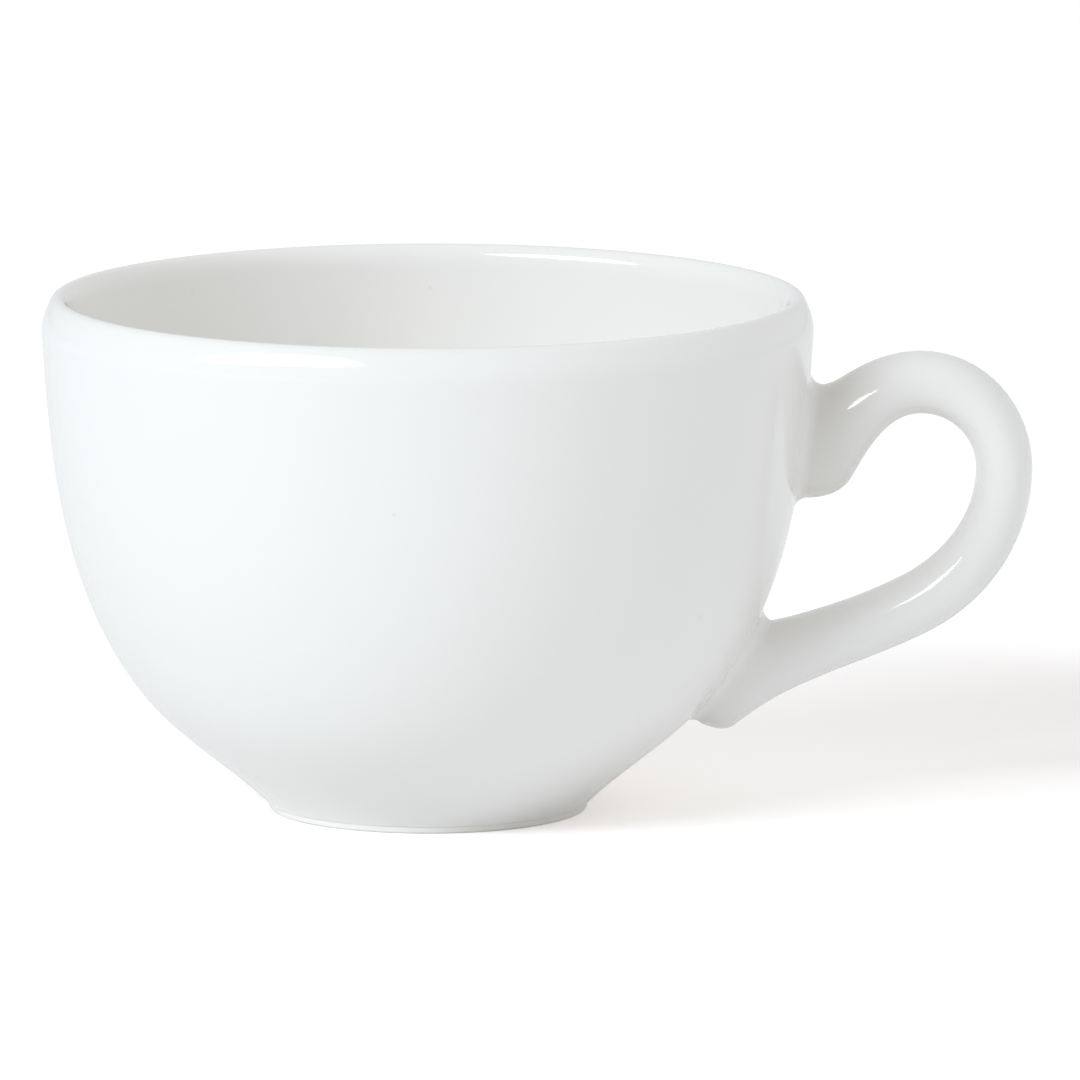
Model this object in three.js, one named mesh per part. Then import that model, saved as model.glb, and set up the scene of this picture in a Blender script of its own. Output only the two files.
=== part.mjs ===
// A low cup with an ear handle, in glazed vitrified ceramic.
// Sizes are in millimetres. The cup stands on z = 0, Z is its axis and the handle points along +X.
import * as THREE from 'three';

// Bowl: a low round bowl whose wall thins from the belly to a rounded lip.
const RIM_DIAMETER = 102.6;
const HEIGHT = 69;
const BELLY_INSET = 12.7;
const BELLY_HEIGHT = 16.4;
const RIM_ANGLE_DEGREES = 86.8;
const BELLY_ANGLE_DEGREES = 52.6;
const FOOT_ANGLE_DEGREES = 44.8;
const WALL_AT_RIM = 3.7;
const WALL_AT_BELLY = 4.2;
const FLOOR_THICKNESS = 4.2;
const FLOOR_FLAT_DIAMETER = 20;

// Lip: its top lies inside the rim, and its round falls further outside than inside.
const LIP_TOP_INSET = 2.1;
const LIP_DROP_OUTSIDE = 4.8;
const LIP_DROP_INSIDE = 3;
const LIP_FULLNESS = 0.67;

// Foot ring: the bare ring that the cup stands on, one coat of glaze inside the wall above it.
const FOOT_DIAMETER = 43;
const FOOT_HEIGHT = 1;
const FOOT_WIDTH = 3.6;
const FOOT_EDGE_RADIUS = 0.4;
const GLAZE_THICKNESS = 0.2;
const UNDERSIDE_HOLLOW = 0.9;

// Handle joints: where each end of the handle lands on the bowl's wall, as heights.
const UPPER_JOINT_TOP = 57;
const UPPER_JOINT_FOOT = 42.1;
const UPPER_JOINT_DEPTH = 13.4;
const LOWER_JOINT_TOP = 25.8;
const LOWER_JOINT_FOOT = 12.6;
const LOWER_JOINT_DEPTH = 12.6;

// Slip: the clay paste that sticks each handle end on, smeared out in a hollow round.
const SLIP_THICKNESS = 1.8;
const SLIP_FIT = 0.2;

// Handle: its reach and height beyond the joints, its thickness and its depth along Y.
const HANDLE_REACH = 31.45;
const HANDLE_RISE = 4.5;
const HANDLE_THICKNESS = 7.9;
const HANDLE_DEPTH = 11.2;
const SECTION_FULLNESS = 2.2;

const TURN_STEPS = 72;
const SECTION_STEPS = 28;

const rimRadius = RIM_DIAMETER / 2;
const footRadius = FOOT_DIAMETER / 2;
const undersideHeight = FOOT_HEIGHT + UNDERSIDE_HOLLOW;
const floorHeight = undersideHeight + FLOOR_THICKNESS;

const glazedCeramic = new THREE.MeshStandardMaterial({ color: 0xf1f0eb, roughness: 0.15 });
const bareCeramic = new THREE.MeshStandardMaterial({ color: 0xe6dfd2, roughness: 0.75 });

const radians = (degrees) => THREE.MathUtils.degToRad(degrees);
const towards = (degrees) => new THREE.Vector2(Math.cos(radians(degrees)), Math.sin(radians(degrees)));
const knot = (x, z, heading) => ({ place: new THREE.Vector2(x, z), heading });

// The knot to the right of another, square to its heading, or to its left where the distance is negative.
function beside({ place, heading }, distance) {
  const right = towards(heading - 90);
  return knot(place.x + distance * right.x, place.y + distance * right.y, heading);
}

// The curve from one knot to the next. Its reach makes an even turn a round arc.
function bend(from, to) {
  const turn = radians(to.heading - from.heading);
  const reach = from.place.distanceTo(to.place) / (3 * Math.cos(turn / 4) ** 2);
  const leaving = from.place.clone().addScaledVector(towards(from.heading), reach);
  const arriving = to.place.clone().addScaledVector(towards(to.heading), -reach);
  return new THREE.CubicBezierCurve(from.place, leaving, arriving, to.place);
}

function lineThrough(knots, steps) {
  const line = [knots[0].place];
  for (let index = 0; index + 1 < knots.length; index += 1) {
    line.push(...bend(knots[index], knots[index + 1]).getPoints(steps[index]).slice(1));
  }
  return line;
}

// Outer wall, from the foot over the belly to the lip, and the inner wall at its thickness.
const footKnot = knot(footRadius, FOOT_HEIGHT, FOOT_ANGLE_DEGREES);
const bellyKnot = knot(rimRadius - BELLY_INSET, BELLY_HEIGHT, BELLY_ANGLE_DEGREES);
const lipKnot = knot(rimRadius, HEIGHT - LIP_DROP_OUTSIDE, RIM_ANGLE_DEGREES);
const outerWall = lineThrough([footKnot, bellyKnot, lipKnot], [6, 12]);

const innerBelly = beside(bellyKnot, -WALL_AT_BELLY);
const innerFloor = knot(FLOOR_FLAT_DIAMETER / 2, floorHeight, 0);
const innerLip = knot(rimRadius - WALL_AT_RIM, HEIGHT - LIP_DROP_INSIDE, RIM_ANGLE_DEGREES);
const innerWall = lineThrough([innerFloor, innerBelly, innerLip], [7, 10]);

// The lip turns over its top from the outer to the inner wall. Outside it is a little flat, like a bevel.
const lipTop = knot(rimRadius - LIP_TOP_INSET, HEIGHT, 180);

function lipCorner(wallPlace, fullness) {
  const width = wallPlace.x - lipTop.place.x;
  const drop = HEIGHT - wallPlace.y;
  const heading = THREE.MathUtils.radToDeg(Math.atan2(-drop, width));
  return knot(
    lipTop.place.x + fullness * width, wallPlace.y + fullness * drop,
    width > 0 ? 180 + heading : 360 + heading,
  );
}

const innerLipDown = { place: innerLip.place, heading: 180 + RIM_ANGLE_DEGREES };
const lipRound = lineThrough([
  lipKnot,
  lipCorner(lipKnot.place, LIP_FULLNESS),
  lipTop,
  lipCorner(innerLip.place, Math.SQRT1_2),
  innerLipDown,
], [3, 3, 2, 3]).slice(1, -1);

function turned(outline) {
  return new THREE.LatheGeometry(outline, TURN_STEPS).rotateX(Math.PI / 2);
}

function bowlGeometry() {
  const seatInside = footRadius - FOOT_WIDTH - GLAZE_THICKNESS;
  return turned([
    new THREE.Vector2(0, undersideHeight),
    new THREE.Vector2(seatInside - 2 * UNDERSIDE_HOLLOW, undersideHeight),
    new THREE.Vector2(seatInside, FOOT_HEIGHT),
    ...outerWall,
    ...lipRound,
    ...innerWall.slice().reverse(),
    new THREE.Vector2(0, floorHeight),
  ]);
}

function footRingGeometry() {
  const outside = footRadius - GLAZE_THICKNESS;
  const inside = outside - FOOT_WIDTH;
  const edge = FOOT_EDGE_RADIUS;
  const round = (x, start, end) => new THREE.EllipseCurve(x, edge, edge, edge, start, end).getPoints(4);
  const outline = [
    ...round(inside + edge, Math.PI, 1.5 * Math.PI),
    ...round(outside - edge, 1.5 * Math.PI, 2 * Math.PI),
    new THREE.Vector2(outside, FOOT_HEIGHT),
    new THREE.Vector2(inside, FOOT_HEIGHT),
  ];
  return turned([...outline, outline[0]]);
}

// Lengths along the outer wall, so that a joint can be laid out on the wall itself.
const wallLengths = [0];
outerWall.slice(1).forEach((place, index) => {
  wallLengths.push(wallLengths[index] + place.distanceTo(outerWall[index]));
});

function wallSpan(reached) {
  const next = outerWall.findIndex((place, index) => index > 0 && reached(place, index));
  return next < 0 ? outerWall.length - 1 : next;
}

function lengthAtHeight(height) {
  const next = wallSpan((place) => place.y >= height);
  const [low, high] = [outerWall[next - 1], outerWall[next]];
  const part = (height - low.y) / (high.y - low.y);
  return THREE.MathUtils.lerp(wallLengths[next - 1], wallLengths[next], part);
}

// A place on the wall: its length up the wall, its distance to the side and its height off the wall.
function onWall(length, side, raise) {
  const next = wallSpan((place, index) => wallLengths[index] >= length);
  const [low, high] = [outerWall[next - 1], outerWall[next]];
  const part = (length - wallLengths[next - 1]) / (wallLengths[next] - wallLengths[next - 1]);
  const along = high.clone().sub(low).normalize();
  const radius = THREE.MathUtils.lerp(low.x, high.x, part) + raise * along.y;
  const height = THREE.MathUtils.lerp(low.y, high.y, part) - raise * along.x;
  return new THREE.Vector3(Math.sqrt(radius ** 2 - side ** 2), side, height);
}

// One step round the handle's section: how far out and how far to the side, each from -1 to 1.
function sectionStep(step) {
  const turn = (2 * Math.PI * step) / SECTION_STEPS;
  const full = (value) => Math.sign(value) * Math.abs(value) ** (2 / SECTION_FULLNESS);
  return { out: full(Math.cos(turn)), side: full(Math.sin(turn)) };
}

const sectionSteps = Array.from({ length: SECTION_STEPS }, (unused, step) => sectionStep(step));

// A joint runs along the wall from the handle's outer edge to its inner edge.
function joint(outerHeight, innerHeight, depth) {
  const [outer, inner] = [lengthAtHeight(outerHeight), lengthAtHeight(innerHeight)];
  return { middle: (outer + inner) / 2, half: (outer - inner) / 2, depth };
}

const upperJoint = joint(UPPER_JOINT_TOP, UPPER_JOINT_FOOT, UPPER_JOINT_DEPTH);
const lowerJoint = joint(LOWER_JOINT_FOOT, LOWER_JOINT_TOP, LOWER_JOINT_DEPTH);

// The joint's outline on the wall, widened by the spread of the slip and raised off the wall.
function jointRing({ middle, half, depth }, raise, spread, scale) {
  const long = half + Math.sign(half) * spread;
  const wide = depth / 2 + spread;
  return sectionSteps.map(({ out, side }) => onWall(
    middle + long * out * scale, wide * side * scale, raise,
  ));
}

// The face where the handle's end and the slip meet, hollow like the wall.
function endFace(place) {
  return [[onWall(place.middle, 0, SLIP_THICKNESS)], jointRing(place, SLIP_THICKNESS, 0, 1)];
}

// The slip spreads in a hollow round that is level with the handle's end and flat on the wall.
function slipSpread(raise) {
  return SLIP_THICKNESS - Math.sqrt(SLIP_THICKNESS ** 2 - (SLIP_THICKNESS - raise) ** 2);
}

function slipRings(place) {
  const raises = [0.12, 0.26, 0.46, 0.72].map((part) => SLIP_FIT + part * (SLIP_THICKNESS - SLIP_FIT));
  return [
    [onWall(place.middle, 0, SLIP_FIT)],
    jointRing(place, SLIP_FIT, slipSpread(SLIP_FIT), 0.5),
    jointRing(place, SLIP_FIT, slipSpread(SLIP_FIT), 1),
    ...raises.map((raise) => jointRing(place, raise, slipSpread(raise), 1)),
    ...endFace(place).reverse(),
  ];
}

// A closed skin over a row of rings, each with the same steps or a single place at either end.
function skin(rings) {
  const places = [];
  const faces = [];
  const starts = rings.map((ring) => places.push(...ring) - ring.length);
  const corner = (ring, step) => starts[ring] + (step % rings[ring].length);
  for (let ring = 0; ring + 1 < rings.length; ring += 1) {
    for (let step = 0; step < SECTION_STEPS; step += 1) {
      const [here, hereNext] = [corner(ring, step), corner(ring, step + 1)];
      const [there, thereNext] = [corner(ring + 1, step), corner(ring + 1, step + 1)];
      if (here !== hereNext) faces.push(here, there, hereNext);
      if (there !== thereNext) faces.push(hereNext, there, thereNext);
    }
  }
  const geometry = new THREE.BufferGeometry().setFromPoints(places);
  geometry.setIndex(faces);
  geometry.computeVertexNormals();
  return geometry;
}

// A handle edge's knot, placed from a corner of a joint at the handle's end face.
function jointCorner(place, end) {
  const corner = onWall(place.middle + end * place.half, 0, SLIP_THICKNESS);
  return (out, up, heading) => knot(corner.x + out, corner.z + up, heading);
}

// The ear: out and up from the upper joint, round a full bend and back down to the lower joint.
// Each station gives the outer and the inner edge, in parts of the handle's reach, rise and thickness.
function handleRings() {
  const reach = HANDLE_REACH;
  const thick = HANDLE_THICKNESS;
  const upperTop = jointCorner(upperJoint, 1);
  const upperFoot = jointCorner(upperJoint, -1);
  const lowerTop = jointCorner(lowerJoint, -1);
  const lowerFoot = jointCorner(lowerJoint, 1);
  const crown = upperTop(0.412 * reach, HANDLE_RISE, 0);
  const bow = upperFoot(reach - SLIP_THICKNESS, 0.5 * thick, -90);
  const cheek = lowerTop(0.675 * reach, -0.14 * thick, -152.5);
  const shoulderDepth = THREE.MathUtils.lerp(UPPER_JOINT_DEPTH, HANDLE_DEPTH, 0.4);
  const toeDepth = THREE.MathUtils.lerp(LOWER_JOINT_DEPTH, HANDLE_DEPTH, 0.3);
  const stations = [
    {
      outer: upperTop(0, 0, 8),
      inner: upperFoot(0, 0, 2),
      depth: UPPER_JOINT_DEPTH,
    },
    {
      outer: upperTop(0.124 * reach, 0.42 * HANDLE_RISE, 30),
      inner: upperFoot(0.177 * reach, 0.35 * thick, 60),
      depth: shoulderDepth,
    },
    { outer: crown, inner: beside(crown, 1.04 * thick), depth: HANDLE_DEPTH },
    { outer: bow, inner: beside(bow, 0.95 * thick), depth: HANDLE_DEPTH },
    { outer: cheek, inner: beside(cheek, 1.03 * thick), depth: HANDLE_DEPTH },
    {
      outer: lowerFoot(0.358 * reach, 0.545 * thick, -153),
      inner: lowerTop(0.165 * reach, 0.165 * thick, -164),
      depth: HANDLE_DEPTH,
    },
    {
      outer: lowerFoot(0.139 * reach, -0.025 * thick, -142),
      inner: lowerTop(0.06 * reach, 0.05 * thick, -168),
      depth: toeDepth,
    },
    {
      outer: lowerFoot(0, 0, -202),
      inner: lowerTop(0, 0, -170),
      depth: LOWER_JOINT_DEPTH,
    },
  ];
  const steps = [5, 6, 8, 8, 6, 4, 5];
  const rings = [];
  for (let index = 0; index + 1 < stations.length; index += 1) {
    const [from, to] = [stations[index], stations[index + 1]];
    const outerEdge = bend(from.outer, to.outer).getPoints(steps[index]);
    const innerEdge = bend(from.inner, to.inner).getPoints(steps[index]);
    for (let step = 1; step <= steps[index]; step += 1) {
      const middle = outerEdge[step].clone().add(innerEdge[step]).multiplyScalar(0.5);
      const half = outerEdge[step].clone().sub(innerEdge[step]).multiplyScalar(0.5);
      const depth = THREE.MathUtils.lerp(from.depth, to.depth, step / steps[index]);
      rings.push(sectionSteps.map(({ out, side }) => new THREE.Vector3(
        middle.x + half.x * out, (depth / 2) * side, middle.y + half.y * out,
      )));
    }
  }
  return [...endFace(upperJoint), ...rings.slice(0, -1), ...endFace(lowerJoint).reverse()];
}

function piece(name, geometry, material) {
  const mesh = new THREE.Mesh(geometry, material);
  mesh.name = name;
  return mesh;
}

const cup = new THREE.Group();
cup.name = 'low_cup';
cup.add(
  piece('bowl', bowlGeometry(), glazedCeramic),
  piece('foot_ring', footRingGeometry(), bareCeramic),
  piece('handle', skin(handleRings()), glazedCeramic),
  piece('upper_slip_joint', skin(slipRings(upperJoint)), glazedCeramic),
  piece('lower_slip_joint', skin(slipRings(lowerJoint).reverse()), glazedCeramic),
);

export default cup;
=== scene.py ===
"""A low cup with an ear handle, in white glazed vitrified ceramic."""
from math import atan2, cos, degrees, pi, radians, sin, sqrt

import bpy
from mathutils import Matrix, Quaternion, Vector
from mathutils.geometry import interpolate_bezier


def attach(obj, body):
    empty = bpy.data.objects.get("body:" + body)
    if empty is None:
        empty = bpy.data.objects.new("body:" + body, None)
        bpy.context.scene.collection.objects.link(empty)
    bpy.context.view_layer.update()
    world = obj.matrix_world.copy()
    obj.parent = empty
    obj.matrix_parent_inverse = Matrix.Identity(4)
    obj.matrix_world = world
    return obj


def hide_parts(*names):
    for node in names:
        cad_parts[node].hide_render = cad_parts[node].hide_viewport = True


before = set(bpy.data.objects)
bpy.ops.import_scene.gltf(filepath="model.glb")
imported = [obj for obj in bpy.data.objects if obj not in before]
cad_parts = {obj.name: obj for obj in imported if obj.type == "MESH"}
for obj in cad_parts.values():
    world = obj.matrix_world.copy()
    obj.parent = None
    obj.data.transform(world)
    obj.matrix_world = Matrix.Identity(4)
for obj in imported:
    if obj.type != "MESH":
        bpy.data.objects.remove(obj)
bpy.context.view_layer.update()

MM = 0.001

# Bowl, in millimetres and degrees
RIM_RADIUS = 51.3
HEIGHT = 69
BELLY_RADIUS = 38.6
BELLY_HEIGHT = 16.4
RIM_ANGLE = 86.8
BELLY_ANGLE = 52.6
FOOT_ANGLE = 44.8
WALL_AT_RIM = 3.7
WALL_AT_BELLY = 4.2
FLOOR_HEIGHT = 6.1
FLOOR_FLAT_RADIUS = 10
UNDERSIDE_HEIGHT = 1.9
UNDERSIDE_SLOPE = 3
UNDERSIDE_ANGLE = 35

# Lip
LIP_TOP_INSET = 2.1
LIP_DROP_OUTSIDE = 4.8
LIP_DROP_INSIDE = 3
LIP_FULLNESS_OUTSIDE = 0.67
LIP_FULLNESS_INSIDE = sqrt(0.5)

# Foot ring, whose sides lean in and whose lower edges are worn
FOOT_RADIUS = 21.5
FOOT_HEIGHT = 1
FOOT_WIDTH = 3.6
RING_ANGLE = 88
RING_LEAN = 0.05
WORN_ANGLE = 86
WORN_HEIGHT = 0.4
WORN_WIDTH = 0.45

# The glaze's rolled edge above the ring. The bowl is sunk into the ring, so that no gap shows.
GLAZE_THICKNESS = 0.2
ROLL_ANGLE = 20
ROLL_WIDTH_INSIDE = 0.3
ROLL_WIDTH_OUTSIDE = 0.1
ROLL_DROP_INSIDE = 0.1
ROLL_DROP_OUTSIDE = 0.07
SUNK = 0.05

# Handle: the heights of its outer and inner edge at each joint, the slip there, then the ear itself
UPPER_JOINT = (57, 42.1)
UPPER_JOINT_DEPTH = 13.4
LOWER_JOINT = (12.6, 25.8)
LOWER_JOINT_DEPTH = 12.6
SLIP = 1.8
SKIRT_WIDTH = 1
SKIRT_SUNK = 0.02
REACH = 31.45
RISE = 4.5
THICK = 7.9
DEPTH = 11.2
SHOULDER_TAPER = 0.4
TOE_TAPER = 0.3
SECTION_FULLNESS = 2.2

# How much the glaze lies in pools and greys there, from 0 to 1, and the power that it thins out by across a
# root. At the handle's roots the grey is also painted shade, so the upper root, shaded by the bowl, gets
# far more than the lower.
POOLED_UNDERSIDE = 0.3
POOLED_INSIDE_RING = 0.6
POOLED_ABOVE_RING = 0.2
POOLED_AT_ROLL = 0.1
POOLED_AT_FOOT = 0.04
POOLED_ON_FLOOR = 0.4
# Painted shade of the bowl on the upper root, over a little glaze pooling at both roots
POOLS_AND_SHADE_AT_UPPER_ROOT = 0.6
POOLS_AND_SHADE_AT_LOWER_ROOT = 0.16
POOLED_POWER = 3

# Mesh steps, and how close together points are merged, in millimetres
BOWL_STEPS_ROUND = 256
HANDLE_STEPS_ROUND = 96
LINE_STEPS = 16
RING_LINE_STEPS = 8
WALL_STEPS = 48
ROOT_RINGS = 22
SKIRT_RINGS = 6
EASED_RINGS = 16
# How many rings the roots' grey runs along the ear, far enough to paint the bowl's shade on the upper arm
POOLS_AND_SHADE_RINGS = 52
MERGED_WITHIN = 0.001

# Finishes: the sizes of their patterns in millimetres, and how strongly these show
DRIFT_SPACING = 28
THIN_LIP_HEIGHT = 1.8
THIN_LIP_STRENGTH = 0.6
SPECK_SPACING = 4
SPECK_SIZE = 0.6
SPECK_SHARE = 0.16
SPECK_STRENGTH = 0.1
RIPPLE_SPACING = 22
PEEL_SPACING = 5
PEEL_HEIGHT = 0.012
RIPPLE_TO_PEEL = 5
GRIT_SIZE = 0.35
GRIT_HEIGHT = 0.05
MARK_SPACING = 6
MARK_HEIGHT = 0.25
MARK_STRENGTH = 0.5
CERAMIC_IOR = 1.5

# Levels of light, where 1 is white. The pale wall is the way to it, as long as the light that it adds.
FLOOR_LIFT = 0.32
FLOOR_IN_GLOSS = 0.4
ROOM_LIGHT = 0.54
ROOM_IN_GLOSS = 0.8
LEAST_ROOM_LIGHT = 0.29
PALE_WALL = (0.42, 0.115, 0)

# Places of the floor, lamp and camera, in metres and degrees
FLOOR_REACH = 8
LAMP_AIM = Vector((0, 0, 0.035))
CAMERA_AIM = Vector((0.01492, 0.00031, 0.03592))
CAMERA_DISTANCE = 1.966
CAMERA_TILT = 9.083
CAMERA_LENS = 491.8


def linear(colour):
    """The linear colour of an sRGB hex value."""
    parts = [int(colour[place:place + 2], 16) / 255 for place in (1, 3, 5)]
    return [part / 12.92 if part <= 0.04045 else ((part + 0.055) / 1.055) ** 2.4 for part in parts] + [1]


def add(tree, kind, inputs=(), **settings):
    """Adds a node with its settings. An input is a value, a socket, or a node for its first output."""
    node = tree.nodes.new(kind)
    for name, value in settings.items():
        setattr(node, name, value)
    for key, value in inputs.items() if isinstance(inputs, dict) else enumerate(inputs):
        socket = node.inputs[key] if isinstance(key, int) else next(
            each for each in node.inputs if each.name == key and each.enabled)
        if isinstance(value, bpy.types.Node):
            value = next(each for each in value.outputs if each.enabled)
        if isinstance(value, bpy.types.NodeSocket):
            tree.links.new(value, socket)
        else:
            socket.default_value = value
    return node


def placed(name, data):
    """A new object in the scene."""
    item = bpy.data.objects.new(name, data)
    bpy.context.scene.collection.objects.link(item)
    return item


# Lines are rows of knots, each with a place, a heading and what the line carries along with it.

def towards(heading):
    return Vector((cos(radians(heading)), 0, sin(radians(heading))))


def knot(x, z, heading, carried=0, turns_to=None):
    return {"place": Vector((x, 0, z)), "arrives": heading,
            "leaves": heading if turns_to is None else turns_to, "carried": carried}


def beside(other, distance):
    """The knot to the right of another, square to its heading."""
    place = other["place"] + distance * towards(other["leaves"] - 90)
    return knot(place.x, place.z, other["leaves"])


def bend_points(start, end):
    """The two points that bend the curve between two knots. An even turn comes out as a round arc."""
    turn = radians(end["arrives"] - start["leaves"])
    reach = (end["place"] - start["place"]).length / (3 * cos(turn / 4) ** 2)
    leaving = start["place"] + reach * towards(start["leaves"])
    arriving = end["place"] - reach * towards(end["arrives"])
    return leaving, arriving


def halfway(start, end):
    """The knot in the middle of the curve between two others."""
    leaving, arriving = bend_points(start, end)
    place = (start["place"] + 3 * leaving + 3 * arriving + end["place"]) / 8
    way = end["place"] + arriving - leaving - start["place"]
    return knot(place.x, place.z, degrees(atan2(way.z, way.x)))


def traced(knots, steps):
    """The points that a line runs through, in millimetres."""
    points = [knots[0]["place"]]
    for start, end in zip(knots, knots[1:]):
        leaving, arriving = bend_points(start, end)
        points += interpolate_bezier(start["place"], leaving, arriving, end["place"], steps + 1)[1:]
    return points


def drawn(name, *lines):
    """A curve object with one spline for each line, given as its knots and the steps between them."""
    curve = bpy.data.curves.new(name, "CURVE")
    curve.dimensions = "3D"
    for knots, steps in lines:
        spline = curve.splines.new("BEZIER")
        spline.resolution_u = steps
        spline.bezier_points.add(len(knots) - 1)
        points = list(spline.bezier_points)
        for point, here in zip(points, knots):
            point.handle_left_type = point.handle_right_type = "FREE"
            point.co = point.handle_left = point.handle_right = here["place"] * MM
            point.radius = here["carried"]
        for index, (start, end) in enumerate(zip(knots, knots[1:])):
            leaving, arriving = bend_points(start, end)
            points[index].handle_right = leaving * MM
            points[index + 1].handle_left = arriving * MM
    return placed(name, curve)


def shaped(name, lines, tree, values):
    """The plain mesh object that a tree makes from drawn lines."""
    modifier = lines.modifiers.new(tree.name, "NODES")
    modifier.node_group = tree
    for socket in tree.interface.items_tree:
        if socket.name in values:
            modifier[socket.identifier] = values[socket.name]
    bpy.context.view_layer.update()
    mesh = bpy.data.meshes.new_from_object(lines.evaluated_get(bpy.context.evaluated_depsgraph_get()))
    mesh.name = name
    lines.modifiers.remove(modifier)
    bpy.data.objects.remove(lines)
    return placed(name, mesh)


def new_tree(name, sizes):
    """A Geometry Nodes tree with its named inputs, and the sockets that give them."""
    tree = bpy.data.node_groups.new(name, "GeometryNodeTree")
    tree.interface.new_socket("Lines", in_out="INPUT", socket_type="NodeSocketGeometry")
    for size, kind in sizes.items():
        tree.interface.new_socket(size, in_out="INPUT", socket_type="NodeSocket" + kind)
    tree.interface.new_socket("Piece", in_out="OUTPUT", socket_type="NodeSocketGeometry")
    return tree, add(tree, "NodeGroupInput").outputs


def flat_sheet(tree, rows, steps_round):
    """A flat sheet with a row for each ring and a column for each step round, then the row that a point of
    it is in and the angle that the point is turned to."""
    last_row = add(tree, "ShaderNodeMath", [rows, 1], operation="SUBTRACT")
    columns = add(tree, "ShaderNodeMath", [steps_round, 1], operation="ADD")
    sheet = add(tree, "GeometryNodeMeshGrid", {
        "Size X": 1, "Size Y": 1, "Vertices X": rows, "Vertices Y": columns}).outputs["Mesh"]
    spot = add(tree, "ShaderNodeSeparateXYZ", [add(tree, "GeometryNodeInputPosition")]).outputs
    along = add(tree, "ShaderNodeMath", [spot["X"], 0.5], operation="ADD")
    row = add(tree, "ShaderNodeMath", [along, last_row, 0.5], operation="MULTIPLY_ADD")
    row = add(tree, "ShaderNodeMath", [row], operation="FLOOR")
    turn = add(tree, "ShaderNodeMath", [spot["Y"], 2 * pi, pi], operation="MULTIPLY_ADD")
    return sheet, row, turn


def finish_tree(tree, sheet, place, pooled, material):
    """Sets a flat sheet's points in place, closes its seam and poles, and gives it its material. The amount
    of grey for glaze pools and painted shade is kept while the sheet is still flat, because it and the
    places are both worked out from the flat points."""
    skin = add(tree, "GeometryNodeStoreNamedAttribute", {
        "Geometry": sheet, "Name": "glaze_pools_and_painted_shade", "Value": pooled}, data_type="FLOAT", domain="POINT")
    skin = add(tree, "GeometryNodeSetPosition", {"Geometry": skin, "Position": place})
    skin = add(tree, "GeometryNodeMergeByDistance", {"Geometry": skin, "Distance": MERGED_WITHIN * MM})
    skin = add(tree, "GeometryNodeSetShadeSmooth", {"Geometry": skin})
    skin = add(tree, "GeometryNodeRealizeInstances", {"Geometry": skin})
    skin = add(tree, "GeometryNodeSetMaterial", {"Geometry": skin, "Material": material})
    add(tree, "NodeGroupOutput", [skin])


def turning_tree():
    """Turns an outline round the Z axis, as on a potter's wheel."""
    tree, given = new_tree("turned_on_the_wheel", {"Steps round": "Int", "Finish": "Material"})
    line = add(tree, "GeometryNodeResampleCurve", {"Curve": given["Lines"]}, mode="EVALUATED")
    position = add(tree, "GeometryNodeInputPosition")
    carried = add(tree, "GeometryNodeInputRadius")
    rows = add(tree, "GeometryNodeAttributeDomainSize", [line], component="CURVE").outputs["Point Count"]
    sheet, row, turn = flat_sheet(tree, rows, given["Steps round"])
    place = add(tree, "GeometryNodeSampleIndex", {
        "Geometry": line, "Value": position, "Index": row}, data_type="FLOAT_VECTOR")
    place = add(tree, "ShaderNodeVectorRotate", {"Vector": place, "Angle": turn}, rotation_type="Z_AXIS")
    pooled = add(tree, "GeometryNodeSampleIndex", {
        "Geometry": line, "Value": carried, "Index": row}, data_type="FLOAT")
    finish_tree(tree, sheet, place, pooled, given["Finish"])
    return tree


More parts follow.
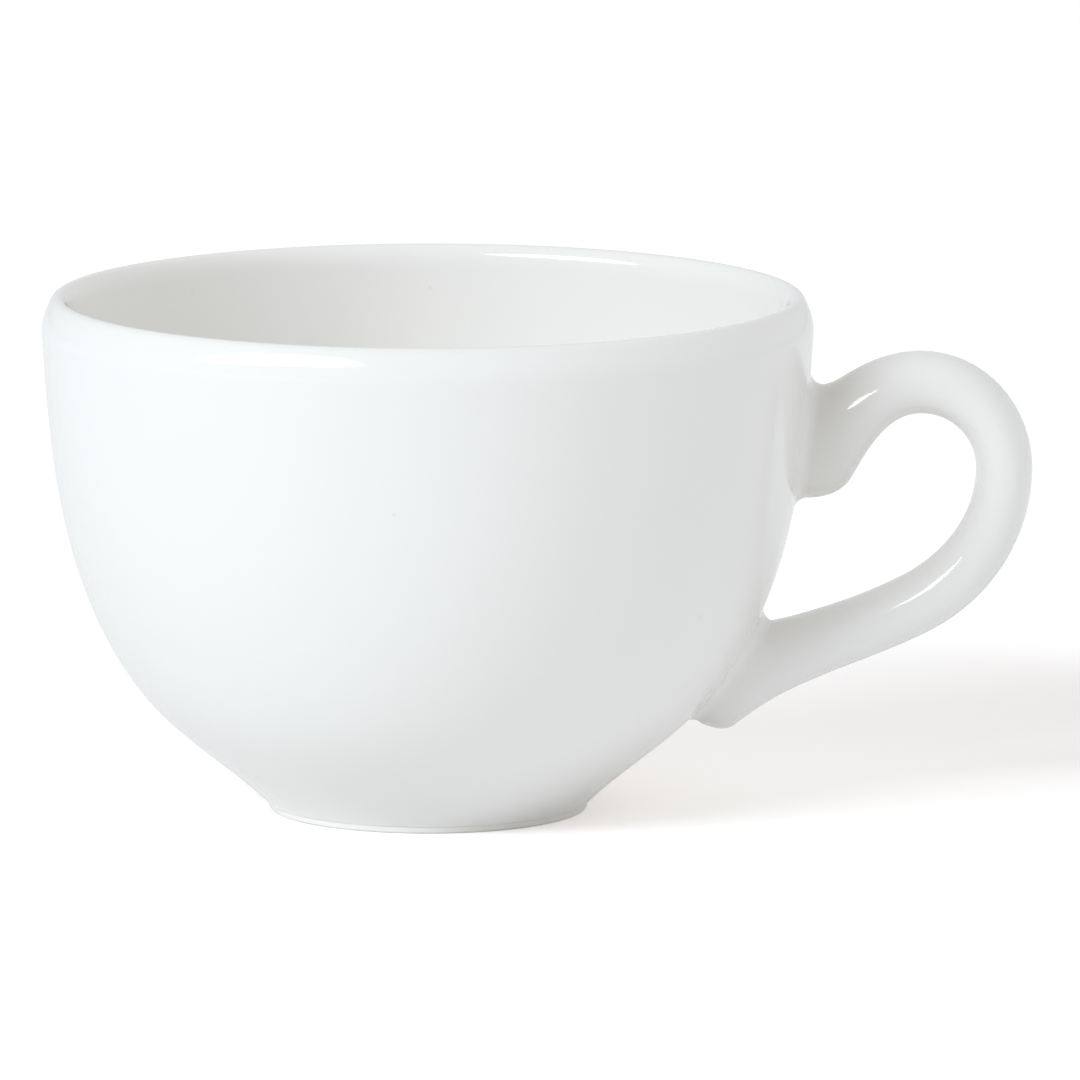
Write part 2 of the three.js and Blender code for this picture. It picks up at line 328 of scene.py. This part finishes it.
def ear_tree():
    """Draws the ear's rings between its outer and inner edge. At each end the rings spread in the slip's
    hollow round and run out on the bowl's wall, which is the third line."""
    counts = ["Rings", "Root rings", "Skirt rings", "Eased rings", "Pools and shade rings", "Steps round"]
    root_sizes = ["middle", "half", "depth", "pooled"]
    sizes = ["Section power", "Slip", "Skirt width", "Skirt sunk"]
    sizes += [end + size for end in ("Upper ", "Lower ") for size in root_sizes]
    tree, given = new_tree("pulled_ear", {
        **dict.fromkeys(counts, "Int"), **dict.fromkeys(sizes, "Float"), "Finish": "Material"})
    lines = add(tree, "GeometryNodeResampleCurve", {"Curve": given["Lines"]}, mode="EVALUATED")
    position = add(tree, "GeometryNodeInputPosition")
    carried = add(tree, "GeometryNodeInputRadius")
    rows = add(tree, "ShaderNodeMath", [
        given["Root rings"], 2, given["Rings"]], operation="MULTIPLY_ADD")
    sheet, row, turn = flat_sheet(tree, rows, given["Steps round"])

    # How far out and how far to the side each step of the section is, from -1 to 1
    steps = []
    for wave in ("COSINE", "SINE"):
        swing = add(tree, "ShaderNodeMath", [turn], operation=wave)
        size = add(tree, "ShaderNodeMath", [swing], operation="ABSOLUTE")
        size = add(tree, "ShaderNodeMath", [size, given["Section power"]], operation="POWER")
        way = add(tree, "ShaderNodeMath", [swing], operation="SIGN")
        steps.append(add(tree, "ShaderNodeMath", [size, way], operation="MULTIPLY"))
    out, side = steps

    # Which ring of the ear a row is, which end is nearer, and how many rings the row is into that root
    last_ring = add(tree, "ShaderNodeMath", [given["Rings"], 1], operation="SUBTRACT")
    after_upper = add(tree, "ShaderNodeMath", [row, given["Root rings"]], operation="SUBTRACT")
    after_lower = add(tree, "ShaderNodeMath", [after_upper, last_ring], operation="SUBTRACT")
    before_upper = add(tree, "ShaderNodeMath", [after_upper, -1], operation="MULTIPLY")
    into_root = add(tree, "ShaderNodeMath", [before_upper, after_lower], operation="MAXIMUM")
    ring = add(tree, "ShaderNodeClamp", {"Value": after_upper, "Min": 0, "Max": last_ring})
    lower = add(tree, "ShaderNodeMath", [after_lower, before_upper], operation="GREATER_THAN")
    end_ring = add(tree, "ShaderNodeMath", [lower, last_ring], operation="MULTIPLY")

    # The flat place of this ring and of the last ring before the root
    across = add(tree, "ShaderNodeMath", [out, 0.5, 0.5], operation="MULTIPLY_ADD")
    flat = []
    for which in (ring, end_ring):
        opposite = add(tree, "ShaderNodeMath", [which, given["Rings"]], operation="ADD")
        outer = add(tree, "GeometryNodeSampleIndex", {
            "Geometry": lines, "Value": position, "Index": which}, data_type="FLOAT_VECTOR")
        inner = add(tree, "GeometryNodeSampleIndex", {
            "Geometry": lines, "Value": position, "Index": opposite}, data_type="FLOAT_VECTOR")
        half_depth = add(tree, "GeometryNodeSampleIndex", {
            "Geometry": lines, "Value": carried, "Index": which}, data_type="FLOAT")
        middle = add(tree, "ShaderNodeMix", {
            "Factor": across, "A": inner, "B": outer}, data_type="VECTOR", clamp_factor=False)
        width = add(tree, "ShaderNodeMath", [half_depth, side], operation="MULTIPLY")
        to_side = add(tree, "ShaderNodeCombineXYZ", {"Y": width})
        flat.append(add(tree, "ShaderNodeVectorMath", [middle, to_side], operation="ADD"))

    # The root's hollow round, a quarter turn from the ear to the wall, then a thin skirt under the wall
    round_rings = add(tree, "ShaderNodeMath", [
        given["Root rings"], given["Skirt rings"]], operation="SUBTRACT")
    skirt_edge = add(tree, "ShaderNodeMath", [given["Root rings"], 1], operation="SUBTRACT")
    angle = add(tree, "ShaderNodeMapRange", {
        "Value": into_root, "From Min": 0, "From Max": round_rings, "To Min": 0, "To Max": pi / 2})
    skirt = add(tree, "ShaderNodeMapRange", {
        "Value": into_root, "From Min": round_rings, "From Max": skirt_edge, "To Min": 0, "To Max": 1})
    falling = add(tree, "ShaderNodeMath", [angle], operation="SINE")
    falling = add(tree, "ShaderNodeMath", [1, falling], operation="SUBTRACT")
    sunk = add(tree, "ShaderNodeMath", [skirt, 2], operation="POWER")
    sunk = add(tree, "ShaderNodeMath", [sunk, given["Skirt sunk"]], operation="MULTIPLY")
    raised = add(tree, "ShaderNodeMath", [falling, given["Slip"]], operation="MULTIPLY")
    raised = add(tree, "ShaderNodeMath", [raised, sunk], operation="SUBTRACT")
    closeness = add(tree, "ShaderNodeMath", [angle], operation="COSINE")
    spreading = add(tree, "ShaderNodeMath", [1, closeness], operation="SUBTRACT")
    run_out = add(tree, "ShaderNodeMath", [skirt, given["Skirt width"]], operation="MULTIPLY")
    spread = add(tree, "ShaderNodeMath", [spreading, given["Slip"], run_out], operation="MULTIPLY_ADD")

    # The root's outline, measured along the wall, and closed in its middle by its last ring
    middle, half, depth, strongest_pools_and_shade = [
        add(tree, "GeometryNodeSwitch", {
            "Switch": lower, "False": given["Upper " + size], "True": given["Lower " + size]},
            input_type="FLOAT")
        for size in root_sizes]
    way = add(tree, "ShaderNodeMath", [half], operation="SIGN")
    long = add(tree, "ShaderNodeMath", [way, spread, half], operation="MULTIPLY_ADD")
    wide = add(tree, "ShaderNodeMath", [depth, 0.5, spread], operation="MULTIPLY_ADD")
    skirt_end = add(tree, "ShaderNodeMath", [given["Root rings"], 0.5], operation="SUBTRACT")
    still_open = add(tree, "ShaderNodeMath", [into_root, skirt_end], operation="LESS_THAN")
    open_out = add(tree, "ShaderNodeMath", [out, still_open], operation="MULTIPLY")
    open_side = add(tree, "ShaderNodeMath", [side, still_open], operation="MULTIPLY")
    length = add(tree, "ShaderNodeMath", [long, open_out, middle], operation="MULTIPLY_ADD")
    width = add(tree, "ShaderNodeMath", [wide, open_side], operation="MULTIPLY")

    # That outline set on the wall, which is round about the Z axis, and raised square to it
    wall_line = add(tree, "GeometryNodeSampleCurve", {
        "Curves": given["Lines"], "Length": length, "Curve Index": 2}, mode="LENGTH").outputs
    wall_spot = add(tree, "ShaderNodeSeparateXYZ", [wall_line["Position"]]).outputs
    wall_way = add(tree, "ShaderNodeSeparateXYZ", [wall_line["Tangent"]]).outputs
    radius = add(tree, "ShaderNodeMath", [
        raised, wall_way["Z"], wall_spot["X"]], operation="MULTIPLY_ADD")
    lowered = add(tree, "ShaderNodeMath", [raised, wall_way["X"]], operation="MULTIPLY")
    height = add(tree, "ShaderNodeMath", [wall_spot["Z"], lowered], operation="SUBTRACT")
    radius_squared = add(tree, "ShaderNodeMath", [radius, 2], operation="POWER")
    width_squared = add(tree, "ShaderNodeMath", [width, width], operation="MULTIPLY")
    from_axis = add(tree, "ShaderNodeMath", [radius_squared, width_squared], operation="SUBTRACT")
    from_axis = add(tree, "ShaderNodeMath", [from_axis], operation="SQRT")
    on_wall = add(tree, "ShaderNodeCombineXYZ", [from_axis, width, height])

    # The first rings of the ear ease from the wall's hollow curve to flat. The grey of glaze that ran down
    # into the roots, which is also painted shade there, thins out along the ear and across the hollow
    # round.
    fading = []
    for rings in ("Eased rings", "Pools and shade rings"):
        gone_by = add(tree, "ShaderNodeMath", [given[rings], -1], operation="MULTIPLY")
        fading.append(add(tree, "ShaderNodeMapRange", {
            "Value": into_root, "From Min": gone_by, "From Max": 0, "To Min": 0, "To Max": 1},
            interpolation_type="SMOOTHSTEP"))
    eased, pools_and_shade_along = fading
    shift = add(tree, "ShaderNodeVectorMath", [on_wall, flat[1]], operation="SUBTRACT")
    shift = add(tree, "ShaderNodeVectorMath", {0: shift, "Scale": eased}, operation="SCALE")
    place = add(tree, "ShaderNodeVectorMath", [flat[0], shift], operation="ADD")
    pooled = add(tree, "ShaderNodeMath", [closeness, POOLED_POWER], operation="POWER")
    pooled = add(tree, "ShaderNodeMath", [pooled, pools_and_shade_along], operation="MULTIPLY")
    pooled = add(tree, "ShaderNodeMath", [pooled, strongest_pools_and_shade], operation="MULTIPLY")
    finish_tree(tree, sheet, place, pooled, given["Finish"])
    return tree


def turned_outwards(piece):
    """Makes the faces of a closed piece point outwards."""
    mesh = piece.data
    mesh.calc_loop_triangles()
    corners = [[mesh.vertices[index].co for index in face.vertices] for face in mesh.loop_triangles]
    if sum(first.dot(second.cross(third)) for first, second, third in corners) < 0:
        mesh.flip_normals()


# Materials

def emptied(owner):
    """The node tree of a material or a world, with nothing in it."""
    owner.use_nodes = True
    owner.node_tree.nodes.clear()
    return owner.node_tree


def glazed_ceramic():
    """Vitrified ceramic under a clear dipped glaze. To the eye it is a clean white with a sharp gloss that
    sways a little, since the glaze ran before it set. It is a soft grey where the glaze lies in pools, on
    the bowl's floor and under the foot, and at the handle's roots, where that grey is also painted shade,
    strongest at the upper root. It is a little warmer on the lip, where it drew thin."""
    material = bpy.data.materials.new("glazed_vitrified_ceramic")
    tree = emptied(material)
    spot = add(tree, "ShaderNodeTexCoord").outputs["Object"]
    drift = add(tree, "ShaderNodeTexNoise", {
        "Vector": spot, "Scale": 1 / (DRIFT_SPACING * MM), "Detail": 2})
    body = add(tree, "ShaderNodeMix", {
        "Factor": drift, "A": linear("#f7f5f1"), "B": linear("#f9f7f3")}, data_type="RGBA")
    height = add(tree, "ShaderNodeSeparateXYZ", [spot]).outputs["Z"]
    thin = add(tree, "ShaderNodeMapRange", {
        "Value": height, "From Min": (HEIGHT - THIN_LIP_HEIGHT) * MM, "From Max": HEIGHT * MM,
        "To Min": 0, "To Max": THIN_LIP_STRENGTH})
    lip = add(tree, "ShaderNodeMix", {
        "Factor": thin, "A": body, "B": linear("#f7f5ef")}, data_type="RGBA")
    # Grey of glaze pools, which at the handle's roots is also painted shade
    pools_and_shade_share = add(tree, "ShaderNodeAttribute", attribute_name="glaze_pools_and_painted_shade").outputs["Fac"]
    colour = add(tree, "ShaderNodeMix", {
        "Factor": pools_and_shade_share, "A": lip, "B": linear("#e3dfd8")}, data_type="RGBA")
    # Pinhead specks of the clay, the largest 0.6 mm across, in about every sixth cell of 4 mm
    cells = add(tree, "ShaderNodeTexVoronoi", {"Vector": spot, "Scale": 1 / (SPECK_SPACING * MM)}).outputs
    draw = add(tree, "ShaderNodeSeparateColor", [cells["Color"]]).outputs["Red"]
    speck_radius = add(tree, "ShaderNodeMapRange", {
        "Value": draw, "From Min": 1 - SPECK_SHARE, "From Max": 1,
        "To Min": 0, "To Max": 0.5 * SPECK_SIZE / SPECK_SPACING})
    speck = add(tree, "ShaderNodeMath", [cells["Distance"], speck_radius], operation="LESS_THAN")
    speck = add(tree, "ShaderNodeMath", [speck, SPECK_STRENGTH], operation="MULTIPLY")
    colour = add(tree, "ShaderNodeMix", {
        "Factor": speck, "A": colour, "B": linear("#b9b2a6")}, data_type="RGBA")
    # Ripples of the run glaze, 22 mm apart, and the finer peel on them, 5 mm apart
    ripple = add(tree, "ShaderNodeTexNoise", {
        "Vector": spot, "Scale": 1 / (RIPPLE_SPACING * MM), "Detail": 0})
    peel = add(tree, "ShaderNodeTexNoise", {
        "Vector": spot, "Scale": 1 / (PEEL_SPACING * MM), "Detail": 1})
    run = add(tree, "ShaderNodeMath", [ripple, RIPPLE_TO_PEEL, peel], operation="MULTIPLY_ADD")
    surface = add(tree, "ShaderNodeBump", {"Strength": 1, "Distance": PEEL_HEIGHT * MM, "Height": run})
    gloss = add(tree, "ShaderNodeMapRange", {"Value": drift, "To Min": 0.05, "To Max": 0.09})
    shader = add(tree, "ShaderNodeBsdfPrincipled", {
        "Base Color": colour, "Roughness": gloss, "IOR": CERAMIC_IOR, "Normal": surface})
    add(tree, "ShaderNodeOutputMaterial", [shader])
    return material


def bare_ceramic():
    """The same clay without glaze, ground flat. It is matt and a little warmer, with fine grit and grey
    marks where it rubbed on tables."""
    material = bpy.data.materials.new("bare_ground_ceramic")
    tree = emptied(material)
    spot = add(tree, "ShaderNodeTexCoord").outputs["Object"]
    # The real grit is about 0.1 mm. It is drawn at 0.35 mm so that it shows.
    grit = add(tree, "ShaderNodeTexNoise", {"Vector": spot, "Scale": 1 / (GRIT_SIZE * MM), "Detail": 3})
    clay = add(tree, "ShaderNodeMix", {
        "Factor": grit, "A": linear("#f0ede6"), "B": linear("#f7f5f0")}, data_type="RGBA")
    marks = add(tree, "ShaderNodeTexNoise", {
        "Vector": spot, "Scale": 1 / (MARK_SPACING * MM), "Detail": 4, "Roughness": 0.7})
    height = add(tree, "ShaderNodeSeparateXYZ", [spot]).outputs["Z"]
    low = add(tree, "ShaderNodeMapRange", {
        "Value": height, "From Min": 0, "From Max": MARK_HEIGHT * MM,
        "To Min": MARK_STRENGTH, "To Max": 0})
    rubbed = add(tree, "ShaderNodeMapRange", {"Value": marks, "From Min": 0.5, "From Max": 0.7})
    rubbed = add(tree, "ShaderNodeMath", [rubbed, low], operation="MULTIPLY")
    colour = add(tree, "ShaderNodeMix", {
        "Factor": rubbed, "A": clay, "B": linear("#b4b0a8")}, data_type="RGBA")
    surface = add(tree, "ShaderNodeBump", {"Strength": 0.6, "Distance": GRIT_HEIGHT * MM, "Height": grit})
    matt = add(tree, "ShaderNodeMapRange", {"Value": grit, "To Min": 0.55, "To Max": 0.7})
    shader = add(tree, "ShaderNodeBsdfPrincipled", {
        "Base Color": colour, "Roughness": matt, "IOR": CERAMIC_IOR, "Normal": surface})
    add(tree, "ShaderNodeOutputMaterial", [shader])
    return material


glaze = glazed_ceramic()
bare = bare_ceramic()


# Bowl: from the middle of its underside out to the foot, up the wall, over the lip and down inside.
# Its line carries how much the glaze lies in pools.

foot_knot = knot(FOOT_RADIUS, FOOT_HEIGHT, FOOT_ANGLE, POOLED_AT_FOOT)
belly_knot = knot(BELLY_RADIUS, BELLY_HEIGHT, BELLY_ANGLE)
lip_outside = knot(RIM_RADIUS, HEIGHT - LIP_DROP_OUTSIDE, RIM_ANGLE)
wall_middle = halfway(belly_knot, lip_outside)
wall = [
    foot_knot, belly_knot, halfway(belly_knot, wall_middle), wall_middle,
    halfway(wall_middle, lip_outside), lip_outside]
inner_belly = beside(belly_knot, -WALL_AT_BELLY)["place"]
lip_top = RIM_RADIUS - LIP_TOP_INSET
ring_outside = FOOT_RADIUS - GLAZE_THICKNESS
ring_inside = ring_outside - FOOT_WIDTH


def lip_corner(width, drop, fullness):
    """The knot halfway round a quarter of the lip. Width is negative on the inside."""
    way = 1 if width > 0 else -1
    heading = degrees(atan2(way * drop, -abs(width))) % 360
    return knot(lip_top + width * fullness, HEIGHT - drop + drop * fullness, heading)


bowl_outline = [
    knot(0, UNDERSIDE_HEIGHT, 0),
    knot(ring_inside - UNDERSIDE_SLOPE, UNDERSIDE_HEIGHT, 0, POOLED_UNDERSIDE),
    knot(ring_inside + SUNK, FOOT_HEIGHT - ROLL_DROP_INSIDE, -UNDERSIDE_ANGLE, POOLED_INSIDE_RING,
         turns_to=ROLL_ANGLE),
    knot(ring_inside + ROLL_WIDTH_INSIDE, FOOT_HEIGHT - SUNK, 0, POOLED_INSIDE_RING),
    knot(ring_outside - ROLL_WIDTH_OUTSIDE, FOOT_HEIGHT - SUNK, 0, POOLED_ABOVE_RING),
    knot(ring_outside + SUNK, FOOT_HEIGHT - ROLL_DROP_OUTSIDE, 0, POOLED_AT_ROLL),
    *wall,
    lip_corner(LIP_TOP_INSET, LIP_DROP_OUTSIDE, LIP_FULLNESS_OUTSIDE),
    knot(lip_top, HEIGHT, 180),
    lip_corner(LIP_TOP_INSET - WALL_AT_RIM, LIP_DROP_INSIDE, LIP_FULLNESS_INSIDE),
    knot(RIM_RADIUS - WALL_AT_RIM, HEIGHT - LIP_DROP_INSIDE, 180 + RIM_ANGLE),
    knot(inner_belly.x, inner_belly.z, 180 + BELLY_ANGLE),
    knot(FLOOR_FLAT_RADIUS, FLOOR_HEIGHT, 180, POOLED_ON_FLOOR),
    knot(0, FLOOR_HEIGHT, 180, POOLED_ON_FLOOR),
]
turning = turning_tree()
bowl = shaped("glazed_bowl", drawn("bowl_outline", (bowl_outline, LINE_STEPS)), turning, {
    "Steps round": BOWL_STEPS_ROUND, "Finish": glaze})


# Foot ring: bare, with its lower edges a little worn

ring_outline = [
    knot(ring_inside, FOOT_HEIGHT, -RING_ANGLE),
    knot(ring_inside + RING_LEAN, WORN_HEIGHT, -WORN_ANGLE),
    knot(ring_inside + WORN_WIDTH, 0, 0),
    knot(ring_outside - WORN_WIDTH, 0, 0),
    knot(ring_outside - RING_LEAN, WORN_HEIGHT, WORN_ANGLE),
    knot(ring_outside, FOOT_HEIGHT, RING_ANGLE, turns_to=180),
    knot(ring_inside, FOOT_HEIGHT, 180),
]
foot_ring = shaped("bare_foot_ring", drawn("ring_outline", (ring_outline, RING_LINE_STEPS)), turning, {
    "Steps round": BOWL_STEPS_ROUND, "Finish": bare})


# Handle: its edges are placed from the corners of its joints on the wall.

wall_points = traced(wall, WALL_STEPS)
wall_lengths = [0]
for low, high in zip(wall_points, wall_points[1:]):
    wall_lengths.append(wall_lengths[-1] + (high - low).length)


def place_on_wall(height):
    """How far up the wall a height is, along its curve, and the place one slip thickness off it."""
    after = next(index for index, point in enumerate(wall_points) if point.z >= height)
    low, high = wall_points[after - 1:after + 1]
    part = (height - low.z) / (high.z - low.z)
    length = wall_lengths[after - 1] + part * (high - low).length
    way = (high - low).normalized()
    return length, low.lerp(high, part) + SLIP * Vector((way.z, 0, -way.x))


def joint_corner(height):
    """Makes knots whose places are counted from a joint's corner."""
    corner = place_on_wall(height)[1]
    return lambda out, up, heading: knot(corner.x + out, corner.z + up, heading)


# Each station has its outer edge, its inner edge and its depth. Places are shares of the ear's reach, rise
# and thickness, and each edge has its own heading. The outer edge carries half the depth.
upper_top, upper_foot = [joint_corner(height) for height in UPPER_JOINT]
lower_foot, lower_top = [joint_corner(height) for height in LOWER_JOINT]
crown = upper_top(0.412 * REACH, RISE, 0)
bow = upper_foot(REACH - SLIP, 0.5 * THICK, -90)
cheek = lower_top(0.675 * REACH, -0.14 * THICK, -152.5)
shoulder_depth = UPPER_JOINT_DEPTH + SHOULDER_TAPER * (DEPTH - UPPER_JOINT_DEPTH)
toe_depth = LOWER_JOINT_DEPTH + TOE_TAPER * (DEPTH - LOWER_JOINT_DEPTH)
stations = [
    (upper_top(0, 0, 8), upper_foot(0, 0, 2), UPPER_JOINT_DEPTH),
    (upper_top(0.124 * REACH, 0.42 * RISE, 30),
     upper_foot(0.177 * REACH, 0.35 * THICK, 60), shoulder_depth),
    (crown, beside(crown, 1.04 * THICK), DEPTH),
    (bow, beside(bow, 0.95 * THICK), DEPTH),
    (cheek, beside(cheek, 1.03 * THICK), DEPTH),
    (lower_foot(0.358 * REACH, 0.545 * THICK, -153),
     lower_top(0.165 * REACH, 0.165 * THICK, -164), DEPTH),
    (lower_foot(0.139 * REACH, -0.025 * THICK, -142),
     lower_top(0.06 * REACH, 0.05 * THICK, -168), toe_depth),
    (lower_foot(0, 0, -202), lower_top(0, 0, -170), LOWER_JOINT_DEPTH),
]
for outer, inner, depth in stations:
    outer["carried"] = 0.5 * depth * MM
outer_edge = [outer for outer, inner, depth in stations]
inner_edge = [inner for outer, inner, depth in stations]

ear_sizes = {
    "Rings": LINE_STEPS * (len(stations) - 1) + 1,
    "Root rings": ROOT_RINGS,
    "Skirt rings": SKIRT_RINGS,
    "Eased rings": EASED_RINGS,
    "Pools and shade rings": POOLS_AND_SHADE_RINGS,
    "Steps round": HANDLE_STEPS_ROUND,
    "Section power": 2 / SECTION_FULLNESS,
    "Slip": SLIP * MM,
    "Skirt width": SKIRT_WIDTH * MM,
    "Skirt sunk": SKIRT_SUNK * MM,
    "Finish": glaze,
}
for end, heights, depth, pooled in (
        ("Upper", UPPER_JOINT, UPPER_JOINT_DEPTH, POOLS_AND_SHADE_AT_UPPER_ROOT),
        ("Lower", LOWER_JOINT, LOWER_JOINT_DEPTH, POOLS_AND_SHADE_AT_LOWER_ROOT)):
    outer, inner = [place_on_wall(height)[0] for height in heights]
    ear_sizes[end + " middle"] = 0.5 * (outer + inner) * MM
    ear_sizes[end + " half"] = 0.5 * (outer - inner) * MM
    ear_sizes[end + " depth"] = depth * MM
    ear_sizes[end + " pooled"] = pooled
ear_lines = drawn("ear_lines", (outer_edge, LINE_STEPS), (inner_edge, LINE_STEPS), (wall, WALL_STEPS))
handle = shaped("glazed_handle", ear_lines, ear_tree(), ear_sizes)

for piece, slot, nodes in (
        (bowl, "glazed_ceramic", ["bowl"]),
        (foot_ring, "bare_ceramic", ["foot_ring"]),
        (handle, "glazed_ceramic", ["handle", "upper_slip_joint", "lower_slip_joint"])):
    turned_outwards(piece)
    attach(piece, "root")
    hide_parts(*nodes)


# Floor, light and camera

def shown_level(tree, least, in_gloss):
    """How bright something shows: white to the camera and through glass, less in the gloss, and least as
    light on the cup."""
    path = add(tree, "ShaderNodeLightPath").outputs
    level = add(tree, "ShaderNodeMath", [
        path["Is Glossy Ray"], in_gloss - least, least], operation="MULTIPLY_ADD")
    for ray in ("Is Camera Ray", "Is Transmission Ray"):
        level = add(tree, "ShaderNodeMath", [level, path[ray]], operation="MAXIMUM")
    return level


def paper_sweep():
    """A plain white floor. It looks white to the camera and pale in the gloss, so that the cup's edges
    stand out, and it keeps the cup's shadow."""
    material = bpy.data.materials.new("white_paper_sweep")
    tree = emptied(material)
    seen = shown_level(tree, 0, FLOOR_IN_GLOSS)
    paper = add(tree, "ShaderNodeBsdfDiffuse", {"Color": linear("#fafafa")})
    lift = add(tree, "ShaderNodeEmission", {"Color": linear("#fff6ee"), "Strength": FLOOR_LIFT})
    white = add(tree, "ShaderNodeAddShader", [paper, lift])
    surface = add(tree, "ShaderNodeMixShader", [seen, paper, white])
    add(tree, "ShaderNodeOutputMaterial", [surface])
    return material


def pale_room():
    """A room whose light comes back from a pale wall on the right, and less from its open side on the left.
    It is pale in the gloss and white to the camera."""
    world = bpy.data.worlds.new("pale_room")
    tree = emptied(world)
    way = add(tree, "ShaderNodeTexCoord").outputs["Generated"]
    nearer = add(tree, "ShaderNodeVectorMath", [way, PALE_WALL], operation="DOT_PRODUCT").outputs["Value"]
    strength = add(tree, "ShaderNodeMath", [nearer, ROOM_LIGHT], operation="ADD")
    least = shown_level(tree, LEAST_ROOM_LIGHT, ROOM_IN_GLOSS)
    strength = add(tree, "ShaderNodeMath", [strength, least], operation="MAXIMUM")
    room = add(tree, "ShaderNodeBackground", {"Color": linear("#fafcff"), "Strength": strength})
    add(tree, "ShaderNodeOutputWorld", [room])
    return world


def soft_lamp(name, azimuth, elevation, lean, distance, width, height, watts, colour):
    """A soft light aimed at the cup. Azimuth is counted to the right of the camera."""
    lamp = bpy.data.lights.new(name, "AREA")
    lamp.shape = "ELLIPSE"
    lamp.size = width
    lamp.size_y = height
    lamp.energy = watts
    lamp.color = linear(colour)[:3]
    lamp_object = placed(name, lamp)
    level = cos(radians(elevation))
    way = Vector((level * sin(radians(azimuth)), -level * cos(radians(azimuth)), sin(radians(elevation))))
    leaning = Quaternion((0, 0, 1), radians(lean))
    lamp_object.location = way * distance + LAMP_AIM
    lamp_object.rotation_euler = (way.to_track_quat("Z", "Y") @ leaning).to_euler()


floor_mesh = bpy.data.meshes.new("floor")
floor_corners = [(x * FLOOR_REACH, y * FLOOR_REACH, 0) for x, y in ((-1, -1), (1, -1), (1, 1), (-1, 1))]
floor_mesh.from_pydata(floor_corners, [], [(0, 1, 2, 3)])
floor_mesh.materials.append(paper_sweep())
floor = placed("floor", floor_mesh)

bpy.context.scene.world = pale_room()
soft_lamp("window_left", azimuth=-49, elevation=30, lean=15, distance=6, width=5.4, height=1.4, watts=238,
          colour="#f1f8ff")

camera = bpy.data.cameras.new("camera")
camera.sensor_width = 36
camera.lens = CAMERA_LENS
camera_object = placed("camera", camera)
tilt = radians(CAMERA_TILT)
camera_object.location = CAMERA_AIM + CAMERA_DISTANCE * Vector((0, -cos(tilt), sin(tilt)))
camera_object.rotation_euler = (pi / 2 - tilt, 0, 0)
bpy.context.scene.camera = camera_object

bpy.context.scene.view_settings.view_transform = "Standard"
